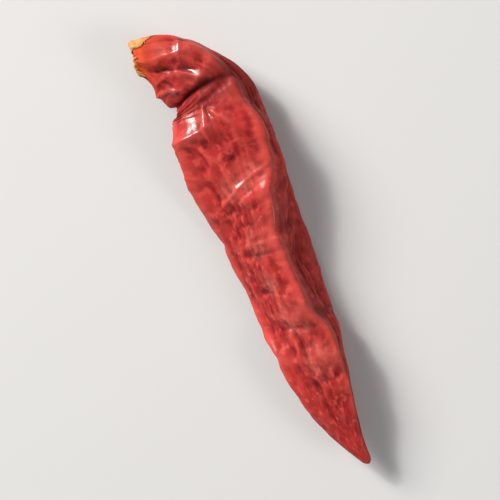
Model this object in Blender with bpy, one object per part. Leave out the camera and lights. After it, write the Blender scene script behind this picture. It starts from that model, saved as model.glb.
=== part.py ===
"""A dried red chilli pod with its stalk pulled off, lying on its side.

Sizes are in millimetres and angles in degrees, and MM turns a finished point into metres.
+X runs from the stem end to the tip, +Y is the outer side of the bend, +Z is up, and the
pod lies on z = 0. A point of the skin has a station, which is its way along the middle line
from the stem end, and an angle round that line: 0 is the outer side of the bend, 90 the top,
180 the inner side and 270 the belly.
"""

import bmesh
import bpy
import numpy as np

MM = 0.001

# The pod's length along its middle line, and the way that line runs
POD_LENGTH = 80.0
MOUTH_HEADING = 52.0
TURNS = (  # from station, to station, turn
    (0.0, 9.0, -17.0),
    (8.5, 17.5, -49.0),
    (19.0, 32.0, 10.0),
    (36.0, 54.0, -5.0),
    (60.0, 80.0, 18.0),
)
MOUTH_SLANT = 22.0  # the torn mouth isn't square to the line
MOUTH_SLANT_END = 6.0
LINE_OVERRUN, LINE_STEPS = 3.0, 1700  # the line is summed up in small steps, a little past both ends

# Station, width across, height, and how far the belly would sink below (-) or clear the floor
PROFILE = (
    (0.0, 5.8, 5.4, 2.0),
    (4.0, 10.0, 8.4, 1.0),
    (8.0, 11.6, 9.6, 0.5),
    (11.5, 12.2, 9.9, 0.2),
    (15.0, 14.3, 10.3, 0.0),
    (19.0, 16.0, 10.4, -0.1),
    (26.0, 16.2, 10.2, -0.25),
    (36.0, 14.5, 9.6, -0.25),
    (46.0, 13.1, 8.9, 0.0),
    (56.0, 12.0, 8.0, 0.5),
    (65.0, 9.5, 6.5, 1.1),
    (72.0, 5.9, 4.6, 2.0),
    (77.0, 2.9, 2.6, 2.9),
    (80.0, 1.2, 1.2, 3.5),
)
TIP_ROUND = 0.9  # length over which the tip closes

# The skin has dried down onto three ribs, so the section has three flat sides that meet in
# three corners. One corner is the ridge along the top: station, the ridge's angle, and how much
# of the section is three-sided
RIB = (
    (0.0, 50.0, 0.05),
    (9.5, 62.0, 0.55),
    (15.6, 66.0, 0.65),
    (20.0, 54.0, 0.62),
    (26.8, 66.0, 0.70),
    (31.0, 74.0, 0.76),
    (35.0, 80.0, 0.80),
    (39.4, 85.0, 0.80),
    (47.0, 87.0, 0.82),
    (53.0, 83.0, 0.78),
    (58.0, 62.0, 0.65),
    (66.0, 52.0, 0.60),
    (80.0, 60.0, 0.25),
)
FLAT_SIDES = (60.0, 180.0, 300.0)  # their middles, as angles from the ridge
FLAT_SHARPNESS = 9.0  # how sharply two flat sides meet
FLAT_REACH = 0.78  # how far a flat side lies from the middle, against a round section

# Hollows pressed in side by side, with ridges between: pitch, count round, depth, seed, and
# how softly two of them join
LONG_HOLLOWS = dict(pitch=17.0, around=4, depth=0.8, seed=11, sharp=0.04)
SMALL_HOLLOWS = dict(pitch=6.5, around=8, depth=0.44, seed=12, sharp=0.03)
HOLLOW_JITTER = 0.8  # how far a hollow's middle may stray, as a share of the pitch
HOLLOW_STEEPNESS = 3.2
HOLLOW_MEAN = 0.45
HOLLOW_LOWEST, HOLLOW_HIGHEST = -0.2, 1.5
TWIST_LONG, TWIST_SMALL = 0.01, 0.02  # radians a millimetre
STEM_END_SHARE = 1.2  # how much deeper the small hollows are before the bend
STEM_END, STEM_END_FADE = 14.0, 6.0

# Layers of noise: height, pitch, count round, seed
WANDER_ROUND = ((0.18, 9.0, 4, 1), (0.07, 4.0, 9, 2))  # radians
WANDER_ALONG = ((2.0, 8.0, 5, 3), (0.5, 3.0, 11, 4))
PATCHES = ((0.6, 12.0, 4, 55),)  # where there are small hollows, and where wrinkles instead
PATCH_MEAN, PATCH_WHOLE = 0.6, 1.2
RIPPLES = ((0.17, 2.4, 4, 21),)
RIPPLE_SLANT = 5.0  # how far ripples follow the wandering, in millimetres a radian
WRINKLES = ((1.0, 8.0, 15, 22),)  # a wrinkle stands where this crosses zero
WRINKLE_HEIGHT = 0.24
WRINKLE_CREST, WRINKLE_SLOPE = 0.5, 2.0
FULL_SIZE = 6.5  # half size of the section at which relief has its full height

# Pleats along the pod: from station, to station, angle there, angle there, depth, width
PLEATS = (
    (-3.0, 11.0, 160.0, 74.0, 1.3, 0.9),
    (-3.0, 17.0, 14.0, 26.0, 0.9, 0.8),
    (-3.0, 8.0, 52.0, 58.0, 0.4, 0.7),
    (4.0, 9.8, 182.0, 134.0, -0.8, 0.8),
    (5.2, 12.4, 112.0, 101.0, -0.9, 0.8),
    (-3.0, 9.0, 178.0, 172.0, 0.8, 0.7),
    (-3.0, 10.0, 206.0, 214.0, 0.9, 0.8),
    (-3.0, 13.0, 258.0, 250.0, 0.8, 0.8),
    (-3.0, 19.0, 330.0, 312.0, 1.0, 0.9),
    (14.2, 20.4, 117.0, 131.0, -1.1, 0.9),
    (10.0, 62.0, 12.0, 0.0, 0.4, 1.1),
    (6.0, 52.0, 206.0, 190.0, 1.3, 1.1),
    (20.0, 84.0, 266.0, 236.0, 1.2, 1.2),
    (15.0, 58.0, 334.0, 318.0, 0.7, 1.0),
    (36.0, 86.0, 138.0, 98.0, 0.9, 0.9),
    (48.0, 88.0, 22.0, 2.0, 0.9, 0.8),
    (50.0, 88.0, 190.0, 150.0, 1.0, 0.8),
    (56.0, 89.0, 320.0, 300.0, 1.0, 0.8),
)
PLEAT_WANDER, PLEAT_WANDER_PITCH = 0.14, 7.0
PLEAT_FADE = 0.25  # share of its length over which a pleat fades in and out
PLEAT_SHOULDER, PLEAT_SHOULDER_WIDTH = 0.4, 2.6  # against its depth and width

# Folds across the pod: station, middle angle, half reach, slant (mm a radian), height, width
FOLDS = (
    (6.1, 60.0, 30.0, 1.7, 0.55, 0.5),
    (11.0, 140.0, 96.0, -1.9, -1.9, 1.0),
    (13.8, 80.0, 52.0, 1.0, -0.95, 1.2),
    (17.8, 99.0, 16.0, -6.7, 0.5, 0.6),
    (19.6, 156.0, 42.0, 0.8, 0.9, 0.8),
    (21.6, 150.0, 50.0, 0.8, -0.25, 1.0),
    (24.7, 107.0, 8.0, 0.0, -0.35, 0.6),
    (25.4, 181.0, 14.0, -4.0, 0.40, 0.5),
    (29.9, 124.0, 72.0, 1.9, 0.50, 0.6),
    (31.6, 124.0, 66.0, 1.9, -0.30, 0.9),
    (33.6, 163.0, 20.0, 0.0, 0.35, 0.45),
    (36.2, 120.0, 50.0, -0.5, -0.30, 0.8),
    (39.4, 114.0, 60.0, -0.9, 0.55, 0.8),
    (40.9, 114.0, 60.0, -1.0, -0.45, 0.6),
    (47.8, 120.0, 50.0, -1.2, -0.35, 0.7),
    (52.2, 116.0, 62.0, -0.9, 0.60, 1.9),
    (54.5, 108.0, 54.0, -0.9, -0.50, 0.8),
    (60.2, 92.0, 72.0, -0.6, 0.50, 1.8),
    (63.8, 100.0, 60.0, 0.0, -0.35, 1.2),
)
FOLD_WANDER, FOLD_WANDER_PITCH, FOLD_WANDER_AROUND = 0.5, 5.0, 6
FOLD_SHOULDER, FOLD_SHOULDER_WIDTH = 0.35, 2.7
LINE_EDGE = 0.05  # how far the sharp line of a pleat or a fold is rounded

# The belly where the pod's weight presses it flat: station and half length
BELLY_STATION = 29.0
BELLY_HALF_LENGTH = 13.0
BELLY_NARROWNESS = 3.0  # the higher, the less of the section's underside is pressed smooth

# The torn mouth: share of the way from its middle to the body, share of the section, inset
MOUTH = (
    (0.0, 0.0, 0.5),
    (0.35, 0.40, 0.48),
    (0.6, 0.64, 0.3),
    (0.8, 0.83, -0.05),
    (0.92, 0.95, 0.12),
    (1.0, 1.0, 0.6),
)
MOUTH_RINGS = 0.09  # share of the pod's rings
MOUTH_RIM, MOUTH_RIM_WIDTH = 0.8, 0.25
MOUTH_RAGGED = ((0.3, 9.0, 9, 71),)  # height, pitch, count round, seed

# Rings and segments of the two grids
POD_SEGMENTS, POD_RINGS = 64, 82
CALYX_SEGMENTS, CALYX_RINGS = 60, 36

# What is left of the calyx: a scar that fills the mouth, with the stalk's broken ring on it,
# and torn teeth as angle, half width, and reach past the scar
CALYX_GAP = 0.35
CALYX_THICKNESS = 0.6
CALYX_SCAR = 0.068
CALYX_TEETH = (
    (32.0, 36.0, 0.052),
    (100.0, 30.0, 0.010),
    (160.0, 24.0, 0.018),
    (222.0, 40.0, 0.012),
    (296.0, 30.0, 0.020),
)
CALYX_TOOTH_STEEPNESS = 1.25
NORMAL_STEP = 0.002  # how far off the surface is looked at to find the way it faces
CALYX_RAGGED = ((0.011, 9.0, 23, 72),)
STALK_RING, STALK_RING_WIDTH, STALK_RING_HEIGHT = 0.024, 0.012, 0.45
STALK_RING_BROKEN = ((0.6, 9.0, 11, 73),)

POD_COLOUR, POD_ROUGHNESS, POD_COAT = (0.36, 0.024, 0.016, 1.0), 0.35, 0.5
CALYX_COLOUR, CALYX_ROUGHNESS, CALYX_COAT = (0.62, 0.36, 0.10, 1.0), 0.75, 0.0


def ease(t):
    """0 below 0, 1 above 1, and smooth between."""
    t = np.clip(t, 0.0, 1.0)
    return t * t * (3.0 - 2.0 * t)


def wrap(angle):
    """The same angle in radians, between -pi and pi."""
    return (angle + np.pi) % (2.0 * np.pi) - np.pi


def through(points, column, station):
    """A smooth line through one column of a table that never overshoots its points."""
    x = np.array([row[0] for row in points])
    y = np.array([row[column] for row in points])
    run = np.diff(x)
    rise = np.diff(y) / run
    before, after = 2.0 * run[1:] + run[:-1], run[1:] + 2.0 * run[:-1]
    same_way = rise[:-1] * rise[1:] > 0.0
    safe = np.where(same_way[:, None], np.stack([rise[:-1], rise[1:]], axis=1), 1.0)
    slope = np.concatenate([rise[:1], np.zeros(len(x) - 2), rise[-1:]])
    mean = (before + after) / (before / safe[:, 0] + after / safe[:, 1])
    slope[1:-1] = np.where(same_way, mean, 0.0)
    i = np.clip(np.searchsorted(x, station) - 1, 0, len(run) - 1)
    t = (station - x[i]) / run[i]
    return (
        (2.0 * t**3 - 3.0 * t**2 + 1.0) * y[i]
        + (t**3 - 2.0 * t**2 + t) * run[i] * slope[i]
        + (3.0 * t**2 - 2.0 * t**3) * y[i + 1]
        + (t**3 - t**2) * run[i] * slope[i + 1]
    )


def noise(station, angle, pitch, around, seed):
    """Smooth random relief from -1 to 1, with cells `pitch` long and `around` to a turn."""
    rows = int(POD_LENGTH / pitch) + 6
    knots = np.random.default_rng(seed).uniform(-1.0, 1.0, (rows, around))
    along = station / pitch + 2.0
    turn = angle / (2.0 * np.pi) * around
    i, j = np.floor(along).astype(int), np.floor(turn).astype(int)
    total = 0.0
    for a, along_weight in enumerate(cubic_weights(along - i)):
        row = np.clip(i + a - 1, 0, rows - 1)
        for b, turn_weight in enumerate(cubic_weights(turn - j)):
            total = total + along_weight * turn_weight * knots[row, (j + b - 1) % around]
    return total


def layers(station, angle, table):
    """The sum of a table's layers of noise."""
    return sum(height * noise(station, angle, *cells) for height, *cells in table)


def cubic_weights(f):
    """How much each of four knots in a row counts, at the share f between the middle two."""
    return (
        (2.0 * f * f - f - f * f * f) / 2.0,
        (2.0 - 5.0 * f * f + 3.0 * f * f * f) / 2.0,
        (f + 4.0 * f * f - 3.0 * f * f * f) / 2.0,
        (f * f * f - f * f) / 2.0,
    )


def hollows(station, angle, pitch, around, depth, seed, sharp):
    """Bowls side by side: each point takes the square of its way to the nearest bowl's middle.

    A soft minimum over all the bowls joins them, so sharp ridges stand where two bowls meet.
    """
    rng = np.random.default_rng(seed)
    total = 0.0
    for row in range(int(POD_LENGTH / pitch) + 3):
        for column in range(around):
            shift = HOLLOW_JITTER * rng.uniform(-0.5, 0.5, 2)
            middle = (row - 0.5 + shift[0]) * pitch
            turn = (column + 0.5 * (row % 2) + shift[1]) * 2.0 * np.pi / around
            square = ((station - middle) / pitch) ** 2
            square = square + (wrap(angle - turn) * around / (2.0 * np.pi)) ** 2
            total = total + np.exp(-HOLLOW_STEEPNESS * square / sharp)
    bowl = -sharp * np.log(total + 1e-30)
    return depth * (np.clip(bowl, HOLLOW_LOWEST, HOLLOW_HIGHEST) - HOLLOW_MEAN)


def middle_line(station):
    """x, y and heading of the middle line: the heading summed up from the mouth."""
    line = np.linspace(-LINE_OVERRUN, POD_LENGTH + LINE_OVERRUN, LINE_STEPS)
    turned = sum(turn * ease((line - start) / (end - start)) for start, end, turn in TURNS)
    heading = np.radians(MOUTH_HEADING + turned)
    x = np.cumsum(np.cos(heading)) * (line[1] - line[0])
    y = np.cumsum(np.sin(heading)) * (line[1] - line[0])
    x, y = x - np.interp(0.0, line, x), y - np.interp(0.0, line, y)
    return tuple(np.interp(station, line, values) for values in (x, y, heading))


def drift(station, angle):
    """How far ridges wander round the pod (radians) and along it."""
    return layers(station, angle, WANDER_ROUND), layers(station, angle, WANDER_ALONG)


def half_sizes(station):
    """Half width, half height, and their mean over the full-size one."""
    wide = through(PROFILE, 1, station) / 2.0
    high = through(PROFILE, 2, station) / 2.0
    return wide, high, np.sqrt(wide * high) / FULL_SIZE


def outward(station, angle):
    """The direction across and up in which an ellipse of the pod's size faces."""
    wide, high, _ = half_sizes(station)
    across, up = np.cos(angle) / wide, np.sin(angle) / high
    length = np.hypot(across, up)
    return across / length, up / length


def rough_section(station, angle):
    """An ellipse mixed with a three-sided form, with the long hollows pressed in."""
    wide, high, size = half_sizes(station)
    round_it, along_it = drift(station, angle)
    turn = angle + round_it - np.radians(through(RIB, 1, station))
    towards = [np.maximum(np.cos(turn - np.radians(side)), 0.0) for side in FLAT_SIDES]
    three_sided = FLAT_REACH * sum(facing**FLAT_SHARPNESS for facing in towards) ** (
        -1.0 / FLAT_SHARPNESS
    )
    reach = 1.0 + through(RIB, 2, station) * (three_sided - 1.0)
    turned = angle + round_it + TWIST_LONG * station
    pressed = size * hollows(station + along_it, turned, **LONG_HOLLOWS)
    across, up = outward(station, angle)
    return (
        wide * reach * np.cos(angle) + pressed * across,
        high * reach * np.sin(angle) + pressed * up,
    )


def section_fit():
    """Shift and stretch, station by station, from the rough section to the profile's sizes."""
    station = np.linspace(0.0, POD_LENGTH, 81)
    turn = np.radians(np.arange(0.0, 360.0, 5.0))
    rough = rough_section(station[:, None] + 0.0 * turn, turn + 0.0 * station[:, None])
    fit = [station]
    for values, column in zip(rough, (1, 2)):
        low, top = values.min(axis=1), values.max(axis=1)
        fit += [(low + top) / 2.0, through(PROFILE, column, station) / (top - low)]
    return fit


SECTION_FIT = section_fit()


def pleats(station, angle, size):
    """Narrow valleys that run along the pod, each with low rounded shoulders."""
    total = 0.0
    for start, end, angle_start, angle_end, depth, width in PLEATS:
        way = (station - start) / (end - start)
        line = np.radians(angle_start + (angle_end - angle_start) * way)
        wander = noise(station, 0.0 * station, PLEAT_WANDER_PITCH, 1, int(angle_start))
        off = wrap(angle - line - PLEAT_WANDER * wander) * size * FULL_SIZE / width
        fade = ease(way / PLEAT_FADE) * ease((1.0 - way) / PLEAT_FADE)
        shoulder = PLEAT_SHOULDER * np.exp(-((off / PLEAT_SHOULDER_WIDTH) ** 2))
        valley = np.exp(-np.sqrt(off**2 + LINE_EDGE)) - shoulder
        total = total - depth * size * fade * valley
    return total


def folds(station, angle):
    """Ridges (+) and creases (-) that run part of the way round the pod."""
    total = 0.0
    for middle, turn, reach, slant, height, width in FOLDS:
        off_turn = wrap(angle - np.radians(turn))
        seed = int(10.0 * middle)
        wander = noise(station, angle, FOLD_WANDER_PITCH, FOLD_WANDER_AROUND, seed)
        off = (station - middle - slant * off_turn - FOLD_WANDER * wander) / width
        fade = np.clip(1.0 - (off_turn / np.radians(reach)) ** 2, 0.0, 1.0)
        shoulder = FOLD_SHOULDER * np.exp(-((off / FOLD_SHOULDER_WIDTH) ** 2))
        crest = np.exp(-np.sqrt(off**2 + LINE_EDGE)) - shoulder
        total = total + height * fade * crest
    return total


def relief(station, angle):
    """How far the skin stands out from the fitted section."""
    _, _, size = half_sizes(station)
    round_it, along_it = drift(station, angle)
    deeper = 1.0 + STEM_END_SHARE * ease((STEM_END - station) / STEM_END_FADE)
    patchy = PATCH_MEAN + layers(station, angle, PATCHES)
    turned = angle + round_it + TWIST_SMALL * station
    small = hollows(station + along_it, turned, **SMALL_HOLLOWS)
    ripple = layers(station + RIPPLE_SLANT * round_it, angle, RIPPLES)
    crossing = layers(station, angle + round_it, WRINKLES)
    wrinkle = WRINKLE_HEIGHT * (WRINKLE_CREST - WRINKLE_SLOPE * np.abs(crossing))
    pressed = np.exp(-(((station - BELLY_STATION) / BELLY_HALF_LENGTH) ** 4))
    pressed = pressed * ease(-BELLY_NARROWNESS * np.sin(angle) - BELLY_NARROWNESS + 1.0)
    raised = small * deeper * patchy + ripple + wrinkle * (PATCH_WHOLE - patchy)
    raised = pleats(station, angle, size) + size * raised
    return (1.0 - pressed) * raised + folds(station, angle)


def skin(station, angle, share, inset):
    """Points of the skin. `share` draws a section in towards the line, `inset` moves it along."""
    across, up = rough_section(station, angle)
    at, across_middle, across_stretch, up_middle, up_stretch = SECTION_FIT
    across = (across - np.interp(station, at, across_middle)) * np.interp(station, at, across_stretch)
    up = (up - np.interp(station, at, up_middle)) * np.interp(station, at, up_stretch)
    out_across, out_up = outward(station, angle)
    raised = relief(station, angle)
    across = share * (across + raised * out_across)
    up = share * (up + raised * out_up)
    x, y, heading = middle_line(station + inset)
    heading = heading + np.radians(MOUTH_SLANT) * (1.0 - ease(station / MOUTH_SLANT_END))
    floor_gap = through(PROFILE, 3, station)
    _, high, _ = half_sizes(station)
    z = floor_gap + high + up
    return np.stack(
        [x - np.sin(heading) * across, y + np.cos(heading) * across, np.maximum(z, 0.0)], axis=-1
    )


def pod_points(way, angle):
    """The pod's skin, with `way` from 0 in the middle of the mouth to 1 at the tip."""
    mouth = np.clip(way / MOUTH_RINGS, 0.0, 1.0)
    station = POD_LENGTH * np.clip((way - MOUTH_RINGS) / (1.0 - MOUTH_RINGS), 0.0, 1.0)
    to_tip = np.clip((station - POD_LENGTH + TIP_ROUND) / TIP_ROUND, 0.0, 1.0)
    share = through(MOUTH, 1, mouth) * np.sqrt(1.0 - to_tip**2)
    edge = np.exp(-(((mouth - MOUTH_RIM) / MOUTH_RIM_WIDTH) ** 2)) * (mouth < 1.0)
    inset = through(MOUTH, 2, mouth) - MOUTH[-1][2] * ease(way / MOUTH_RINGS - 1.0)
    inset = inset + edge * layers(0.0 * station, angle, MOUTH_RAGGED)
    return skin(station, angle, share, inset)


def sphere_grid(name, segments, rings):
    """A new mesh of a sphere, with each vertex's way from pole to pole and its angle."""
    shape = bmesh.new()
    bmesh.ops.create_uvsphere(shape, u_segments=segments, v_segments=rings, radius=1.0)
    mesh = bpy.data.meshes.new(name)
    shape.to_mesh(mesh)
    shape.free()
    points = np.empty(3 * len(mesh.vertices))
    mesh.vertices.foreach_get("co", points)
    x, y, z = points.reshape(-1, 3).T
    return mesh, np.arccos(np.clip(-z, -1.0, 1.0)) / np.pi, np.arctan2(y, x)


def calyx_edge(angle):
    """How far out over the mouth the remnant reaches: the scar, and its torn teeth."""
    edge = CALYX_SCAR + 0.0 * angle
    for middle, half_width, reach in CALYX_TEETH:
        off = np.abs(wrap(angle - np.radians(middle))) / np.radians(half_width)
        edge = edge + reach * ease(CALYX_TOOTH_STEEPNESS * (1.0 - off))
    return edge + layers(0.0 * angle, angle, CALYX_RAGGED)


def calyx_points(way, angle):
    """A sheet that follows the mouth: its outer face for way < 0.5, its inner face beyond."""
    from_pole = np.where(way < 0.5, 2.0 * way, 2.0 - 2.0 * way)
    out = calyx_edge(angle) * from_pole
    point = pod_points(out, angle)
    along = pod_points(out + NORMAL_STEP, angle) - point
    off_pole = np.maximum(out, NORMAL_STEP)
    turned = pod_points(off_pole, angle + NORMAL_STEP) - pod_points(off_pole, angle)
    normal = np.cross(turned, along)
    normal = normal / np.maximum(np.linalg.norm(normal, axis=-1, keepdims=True), 1e-9)
    thick = CALYX_THICKNESS * np.sqrt(1.0 - from_pole**4)
    broken = 1.0 + layers(0.0 * angle, angle, STALK_RING_BROKEN)
    ring = STALK_RING_HEIGHT * broken * np.exp(-(((out - STALK_RING) / STALK_RING_WIDTH) ** 2))
    lift = CALYX_GAP + np.where(way < 0.5, thick + ring, 0.0)
    return point + normal * lift[:, None]


def material(name, colour, roughness, coat):
    made = bpy.data.materials.new(name)
    made.use_nodes = True
    shader = made.node_tree.nodes["Principled BSDF"]
    shader.inputs["Base Color"].default_value = colour
    shader.inputs["Roughness"].default_value = roughness
    shader.inputs["Metallic"].default_value = 0.0
    shader.inputs["Coat Weight"].default_value = coat
    return made


def place(mesh, points, finish, collection):
    """Gives a mesh its points in metres and its material, and adds it to the collection."""
    mesh.vertices.foreach_set("co", (points * MM).astype(np.float32).ravel())
    mesh.update()
    mesh.shade_smooth()
    mesh.materials.append(finish)
    made = bpy.data.objects.new(mesh.name, mesh)
    collection.objects.link(made)
    return made


def main():
    for old in list(bpy.data.objects):
        bpy.data.objects.remove(old)
    collection = bpy.data.collections.new("dried_chilli")
    bpy.context.scene.collection.children.link(collection)
    pod, pod_way, pod_angle = sphere_grid("pod", POD_SEGMENTS, POD_RINGS)
    calyx, calyx_way, calyx_angle = sphere_grid("calyx_remnant", CALYX_SEGMENTS, CALYX_RINGS)
    pod_at = pod_points(pod_way, pod_angle)
    calyx_at = calyx_points(calyx_way, calyx_angle)
    every = np.concatenate([pod_at, calyx_at])
    middle = (every.min(axis=0) + every.max(axis=0)) / 2.0
    to_origin = np.array([middle[0], middle[1], every[:, 2].min()])
    skin_finish = material("dried_skin", POD_COLOUR, POD_ROUGHNESS, POD_COAT)
    calyx_finish = material("dry_calyx", CALYX_COLOUR, CALYX_ROUGHNESS, CALYX_COAT)
    place(pod, pod_at - to_origin, skin_finish, collection)
    place(calyx, calyx_at - to_origin, calyx_finish, collection)


main()
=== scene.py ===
# %% [markdown]
# # A dried red chilli pod
#
# The object is one long red chilli that was dried whole and had its stalk pulled off. As it
# dried, the air inside let the skin sink down onto the pod's three inner ribs, so the round
# fruit became three-cornered and wrinkled. It lies on its side on a pale table.
#
# There are two pieces to make: the pod's skin, and the straw-coloured remnant of the calyx on
# its torn end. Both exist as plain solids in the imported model, which this script loads first.
# The script makes each again on a far finer grid, from the same sizes, and gives it its finish.

import bpy
import numpy as np
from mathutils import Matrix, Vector


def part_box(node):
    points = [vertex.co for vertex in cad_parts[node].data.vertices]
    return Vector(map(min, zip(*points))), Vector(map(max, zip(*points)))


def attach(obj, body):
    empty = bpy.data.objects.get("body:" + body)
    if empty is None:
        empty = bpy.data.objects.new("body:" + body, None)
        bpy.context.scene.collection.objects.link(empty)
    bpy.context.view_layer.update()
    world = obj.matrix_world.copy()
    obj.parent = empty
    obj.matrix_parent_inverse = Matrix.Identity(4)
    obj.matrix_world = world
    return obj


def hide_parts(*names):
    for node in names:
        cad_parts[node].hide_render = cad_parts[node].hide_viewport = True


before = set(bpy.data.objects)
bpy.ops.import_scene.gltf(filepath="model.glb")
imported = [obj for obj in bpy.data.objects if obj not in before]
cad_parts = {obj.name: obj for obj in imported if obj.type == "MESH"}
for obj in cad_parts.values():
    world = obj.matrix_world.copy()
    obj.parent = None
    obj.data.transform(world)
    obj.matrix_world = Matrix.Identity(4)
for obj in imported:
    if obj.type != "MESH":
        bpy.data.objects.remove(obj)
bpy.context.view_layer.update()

# %% [markdown]
# ## Sizes that the pod is drawn from
#
# Everything below is in millimetres and degrees. A point of the skin has a station, its way
# along the pod's middle line from the stem end, and an angle round that line: 0 is the outer
# side of the bend, 90 the top, 180 the inner side and 270 the belly. These sizes are the same
# ones that the solids were made from, so that the finished piece fills the same space.

# %% The middle line and the section's sizes
MM = 0.001
POD_LENGTH = 80.0
MOUTH_HEADING = 52.0
TURNS = (  # from station, to station, turn
    (0.0, 9.0, -17.0),
    (8.5, 17.5, -49.0),
    (19.0, 32.0, 10.0),
    (36.0, 54.0, -5.0),
    (60.0, 80.0, 18.0),
)
MOUTH_SLANT, MOUTH_SLANT_END = 22.0, 6.0  # the torn mouth isn't square to the line
LINE_OVERRUN, LINE_STEPS = 3.0, 1700  # the line is summed up in steps, a little past both ends
PROFILE = (  # station, width across, height, floor gap
    (0.0, 5.8, 5.4, 2.0),
    (4.0, 10.0, 8.4, 1.0),
    (8.0, 11.6, 9.6, 0.5),
    (11.5, 12.2, 9.9, 0.2),
    (15.0, 14.3, 10.3, 0.0),
    (19.0, 16.0, 10.4, -0.1),
    (26.0, 16.2, 10.2, -0.25),
    (36.0, 14.5, 9.6, -0.25),
    (46.0, 13.1, 8.9, 0.0),
    (56.0, 12.0, 8.0, 0.5),
    (65.0, 9.5, 6.5, 1.1),
    (72.0, 5.9, 4.6, 2.0),
    (77.0, 2.9, 2.6, 2.9),
    (80.0, 1.2, 1.2, 3.5),
)
TIP_ROUND = 0.9  # length over which the tip closes
print("middle line of", POD_LENGTH, "mm with", len(TURNS), "turns")

# %% [markdown]
# ## Smooth lines, and noise that closes round the pod
#
# Wrinkles need randomness that is the same each run and that meets itself after a full turn.
# Blender's own noise does neither on a station and an angle, so a small grid of random knots
# is made here, with as many knots to a turn as wished, and read with a smooth cubic.

# %% Helpers for lines and noise
KNOTS_BEFORE, KNOTS_SPARE = 2.0, 6  # rows of knots before station 0, and beyond the pod in all
LEAST_LENGTH = 1e-9  # keeps a point at a pole from dividing by 0


def ease(t):
    """0 below 0, 1 above 1, and smooth between: three t squared less two t cubed."""
    t = np.clip(t, 0.0, 1.0)
    return t * t * (3.0 - 2.0 * t)


def wrap(angle):
    """The same angle in radians, between -pi and pi."""
    return (angle + np.pi) % (2.0 * np.pi) - np.pi


def through(points, column, station):
    """A cubic through one column of a table, whose slopes are set so it never overshoots."""
    x = np.array([row[0] for row in points])
    y = np.array([row[column] for row in points])
    run = np.diff(x)
    rise = np.diff(y) / run
    before, after = 2.0 * run[1:] + run[:-1], run[1:] + 2.0 * run[:-1]
    same_way = rise[:-1] * rise[1:] > 0.0
    safe = np.where(same_way[:, None], np.stack([rise[:-1], rise[1:]], axis=1), 1.0)
    slope = np.concatenate([rise[:1], np.zeros(len(x) - 2), rise[-1:]])
    mean = (before + after) / (before / safe[:, 0] + after / safe[:, 1])
    slope[1:-1] = np.where(same_way, mean, 0.0)
    i = np.clip(np.searchsorted(x, station) - 1, 0, len(run) - 1)
    t = (station - x[i]) / run[i]
    return (
        (2.0 * t**3 - 3.0 * t**2 + 1.0) * y[i]
        + (t**3 - 2.0 * t**2 + t) * run[i] * slope[i]
        + (3.0 * t**2 - 2.0 * t**3) * y[i + 1]
        + (t**3 - t**2) * run[i] * slope[i + 1]
    )


def cubic_weights(f):
    """How much each of four knots in a row counts, at the share f between the middle two."""
    return (
        (2.0 * f * f - f - f * f * f) / 2.0,
        (2.0 - 5.0 * f * f + 3.0 * f * f * f) / 2.0,
        (f + 4.0 * f * f - 3.0 * f * f * f) / 2.0,
        (f * f * f - f * f) / 2.0,
    )


def noise(station, angle, pitch, around, seed):
    """Random knots `pitch` apart along the pod and `around` to a turn, joined by cubics."""
    rows = int(POD_LENGTH / pitch) + KNOTS_SPARE
    knots = np.random.default_rng(seed).uniform(-1.0, 1.0, (rows, around))
    along = station / pitch + KNOTS_BEFORE
    turn = angle / (2.0 * np.pi) * around
    i, j = np.floor(along).astype(int), np.floor(turn).astype(int)
    total = 0.0
    for a, along_weight in enumerate(cubic_weights(along - i)):
        row = np.clip(i + a - 1, 0, rows - 1)
        for b, turn_weight in enumerate(cubic_weights(turn - j)):
            total = total + along_weight * turn_weight * knots[row, (j + b - 1) % around]
    return total


def layers(station, angle, table):
    """The sum of a table's layers of noise, each a height, a pitch, a count round and a seed."""
    return sum(height * noise(station, angle, *cells) for height, *cells in table)


def unit(vectors):
    """The same directions at length 1."""
    return vectors / np.maximum(np.linalg.norm(vectors, axis=-1, keepdims=True), LEAST_LENGTH)


print("knots count, halfway between two:", cubic_weights(0.5))

# %% [markdown]
# ## The section: three ribs, and skin that hangs between them
#
# Dry skin stays up where a rib holds it and sinks in shallow bowls between. Bowls that touch
# leave sharp ridges where they meet, which is what makes a dried pod look dried. Plain noise
# gives soft hills instead, so the bowls are summed with a soft minimum, which keeps the edge.

# %% How the skin sinks in
RIB = (  # station, the ridge's angle, how much of the section is three-sided
    (0.0, 50.0, 0.05),
    (9.5, 62.0, 0.55),
    (15.6, 66.0, 0.65),
    (20.0, 54.0, 0.62),
    (26.8, 66.0, 0.70),
    (31.0, 74.0, 0.76),
    (35.0, 80.0, 0.80),
    (39.4, 85.0, 0.80),
    (47.0, 87.0, 0.82),
    (53.0, 83.0, 0.78),
    (58.0, 62.0, 0.65),
    (66.0, 52.0, 0.60),
    (80.0, 60.0, 0.25),
)
FLAT_SIDES = (60.0, 180.0, 300.0)  # their middles, as angles from the ridge
FLAT_SHARPNESS, FLAT_REACH = 9.0, 0.78
LONG_HOLLOWS = dict(pitch=17.0, around=4, depth=0.8, seed=11, sharp=0.04)
SMALL_HOLLOWS = dict(pitch=6.5, around=8, depth=0.44, seed=12, sharp=0.03)
HOLLOW_JITTER, HOLLOW_STEEPNESS, HOLLOW_MEAN = 0.8, 3.2, 0.45
HOLLOW_LOWEST, HOLLOW_HIGHEST = -0.2, 1.5
HOLLOW_LEAST = 1e-30  # keeps the logarithm finite far from every bowl
HOLLOW_SPARE_ROWS = 3  # rows of bowls beyond the pod's two ends, in all
TWIST_LONG, TWIST_SMALL = 0.01, 0.02  # radians a millimetre
STEM_END_SHARE, STEM_END, STEM_END_FADE = 1.2, 14.0, 6.0
WANDER_ROUND = ((0.18, 9.0, 4, 1), (0.07, 4.0, 9, 2))  # height, pitch, count round, seed
WANDER_ALONG = ((2.0, 8.0, 5, 3), (0.5, 3.0, 11, 4))
PATCHES = ((0.6, 12.0, 4, 55),)  # where there are small hollows, and where wrinkles instead
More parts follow.
